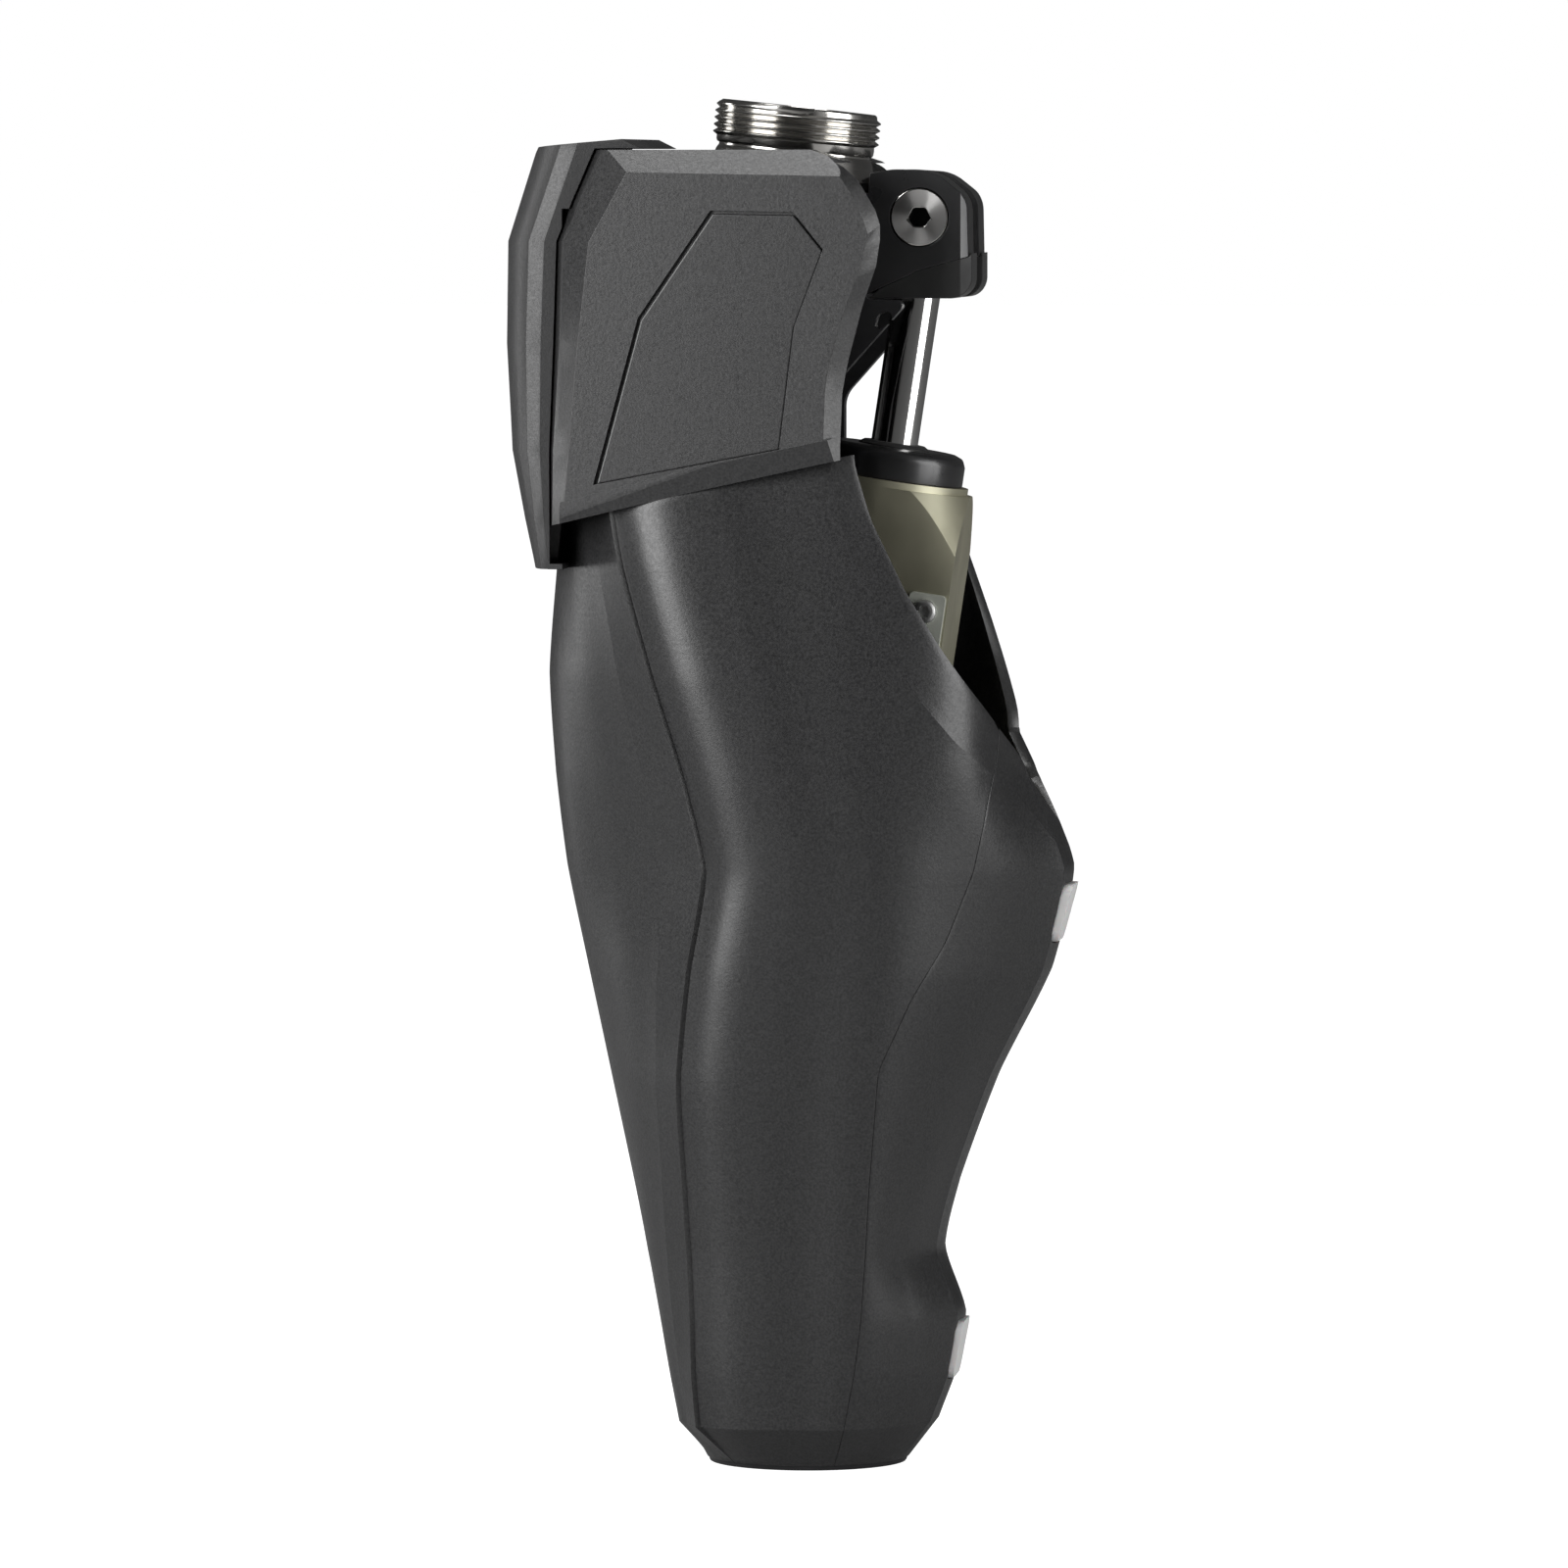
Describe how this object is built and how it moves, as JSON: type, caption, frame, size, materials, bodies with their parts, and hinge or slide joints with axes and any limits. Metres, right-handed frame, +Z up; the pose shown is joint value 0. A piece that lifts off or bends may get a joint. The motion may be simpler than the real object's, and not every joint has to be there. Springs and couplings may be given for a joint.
{
  "type": "prosthetic knee joint",
  "caption": "Above-knee prosthetic knee: threaded connector on a swinging head, hydraulic damper with chromed rod, pylon clamp, dark protector shells with padded knee shield.",
  "frame": {"origin": "centre of the pylon clamp's mouth, on the bore's axis", "axes": "+Z up the shin, +X towards the back of the leg, +Y towards the wearer's left side when the knee is a right one"},
  "size_m": [0.1231, 0.0896, 0.2958],
  "materials": {
    "charcoal_shell": "fine matt grain",
    "charcoal_inlay": "fine matt grain, a little smoother than the shell",
    "charcoal_insert": "satin",
    "soft_pad": "soft matt",
    "black_anodised": "black anodised, glossy",
    "frame_black": "black anodised, satin",
    "khaki_anodised": "khaki anodised, brushed",
    "raw_aluminium": "machined",
    "polished_steel": "polished",
    "chromed_rod": "hard chromed, polished",
    "bearing_steel": "ground",
    "brushed_screw": "turned face",
    "dark_steel": "blackened",
    "bronze": "sintered",
    "brass": "turned",
    "bracket_grey": "light grey-green",
    "motor_can": "drawn can",
    "black_rubber": "matt",
    "black_polymer": "moulded",
    "white_polymer": "smooth",
    "white_tab": "moulded, satin",
    "battery_wrap": "shrink sleeve",
    "board_green": "solder mask"
  },
  "bodies": {
    "shin": {"axle_bearings": "bearing_steel", "battery": "battery_wrap", "battery_tray": "black_polymer", "board_posts": "brass", "circuit_board": "board_green", "clamp_nut": "dark_steel", "clamp_screw": "dark_steel", "extension_stop": "black_rubber", "front_insert": "charcoal_insert", "knee_pad": "soft_pad", "knee_shield": "charcoal_shell", "left_inlay": "charcoal_inlay", "rear_cover": "charcoal_shell", "right_inlay": "charcoal_inlay", "shell_posts": "black_polymer", "shield_posts": "black_polymer", "shin_frame": "frame_black", "shin_shell": "charcoal_shell"},
    "head": {"joint_head": "black_anodised", "swing_bumper": "black_rubber", "threaded_connector": "polished_steel", "connector_bolt": "dark_steel", "knee_axle": "polished_steel", "axle_washers": "white_polymer", "axle_discs": "black_anodised", "rod_pin": "polished_steel", "rod_pin_screws": "brushed_screw"},
    "rod": {"piston_rod": "chromed_rod", "eye_bush": "bronze", "piston": "raw_aluminium", "piston_band": "white_polymer", "piston_nut": "dark_steel"},
    "damper": {"hydraulic_cylinder": "khaki_anodised", "cylinder_cap": "black_anodised", "rod_wiper": "black_rubber", "rod_seal": "black_rubber", "pivot_pin": "polished_steel", "valve_block": "raw_aluminium", "valve_motors": "motor_can", "sensor_bracket": "bracket_grey", "bracket_screw": "brushed_screw"},
    "upper_tab": {"upper_release_tab": "white_tab"},
    "lower_tab": {"lower_release_tab": "white_tab"}
  },
  "joints": [
    {"name": "knee_flexion", "type": "hinge", "parent": "shin", "child": "head", "pos_m": [-0.0055, 0, 0.262], "axis": [0, 1, 0], "range_deg": [0, 120]},
    {"name": "rod_swing", "type": "hinge", "parent": "head", "child": "rod", "pos_m": [0.0261, 0, 0.2702], "axis": [0, 1, 0], "range_deg": [-136, 0]},
    {"name": "damper_stroke", "type": "slide", "parent": "rod", "child": "damper", "axis": [0.1478, 0, 0.989], "range_m": [0, 0.0351]},
    {"name": "upper_tab_press", "type": "slide", "parent": "shin", "child": "upper_tab", "axis": [-1, 0, 0], "range_m": [0, 0.0012], "stiffness_N_per_m": 1500},
    {"name": "lower_tab_press", "type": "slide", "parent": "shin", "child": "lower_tab", "axis": [-1, 0, 0], "range_m": [0, 0.0012], "stiffness_N_per_m": 1500}
  ],
  "couplings": [
    {"joint": "rod_swing", "follows": "knee_flexion", "ratio": -1.13},
    {"joint": "damper_stroke", "follows": "knee_flexion", "m_per_rad": 0.01671}
  ]
}
